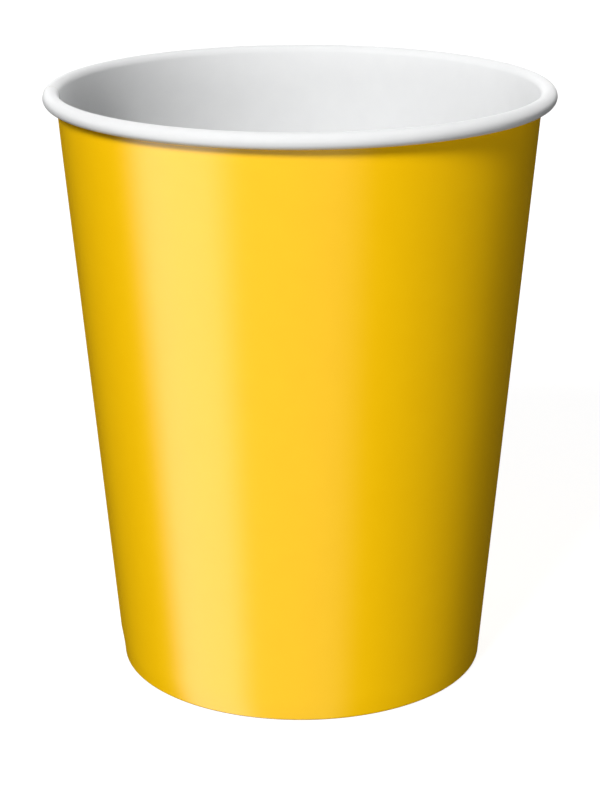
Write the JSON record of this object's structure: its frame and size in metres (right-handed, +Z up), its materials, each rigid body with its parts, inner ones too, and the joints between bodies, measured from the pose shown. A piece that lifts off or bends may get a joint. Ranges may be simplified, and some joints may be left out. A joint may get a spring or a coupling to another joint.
{
  "type": "disposable paper cup",
  "caption": "Tapered paper drinking cup with a rolled white rim, a lapped side seam and a flat base held in a turned-in foot; yellow outside, white inside.",
  "frame": {"origin": "middle of the foot ring, on the table", "axes": "+Z up the cup's axis towards the mouth, -Y towards the viewer of the picture, +X to the viewer's right"},
  "size_m": [0.078, 0.078, 0.0926],
  "materials": {
    "printed_board": "satin",
    "base_board": "satin"
  },
  "bodies": {
    "root": {"side_wall": "printed_board", "base": "base_board"}
  },
  "joints": []
}
